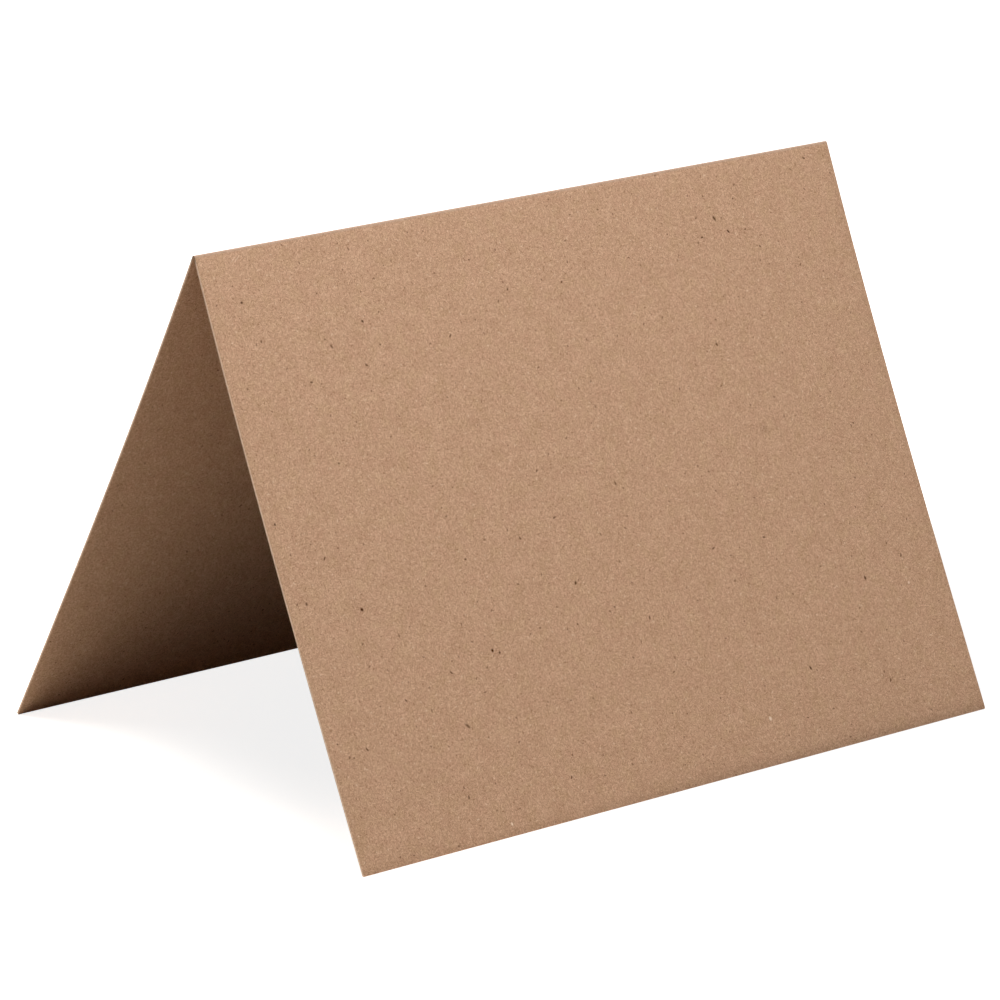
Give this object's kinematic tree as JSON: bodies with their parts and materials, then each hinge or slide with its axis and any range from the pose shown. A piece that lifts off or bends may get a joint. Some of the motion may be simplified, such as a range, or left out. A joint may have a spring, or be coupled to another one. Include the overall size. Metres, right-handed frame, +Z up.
{
  "type": "greeting card",
  "caption": "Blank folded greeting card in brown kraft stock, standing open like a tent on its foot edges with the fold on top.",
  "frame": {"origin": "centre of the standing card on the surface that it rests on, under the fold", "axes": "+X along the fold, +Z up; the front panel faces -Y and the back panel faces +Y"},
  "size_m": [0.1588, 0.1076, 0.1048],
  "materials": {
    "kraft_card_stock": "matte, uncoated brown kraft with fine fibre grain and a few dark flecks"
  },
  "bodies": {
    "root": {"folded_card": "kraft_card_stock"}
  },
  "joints": []
}
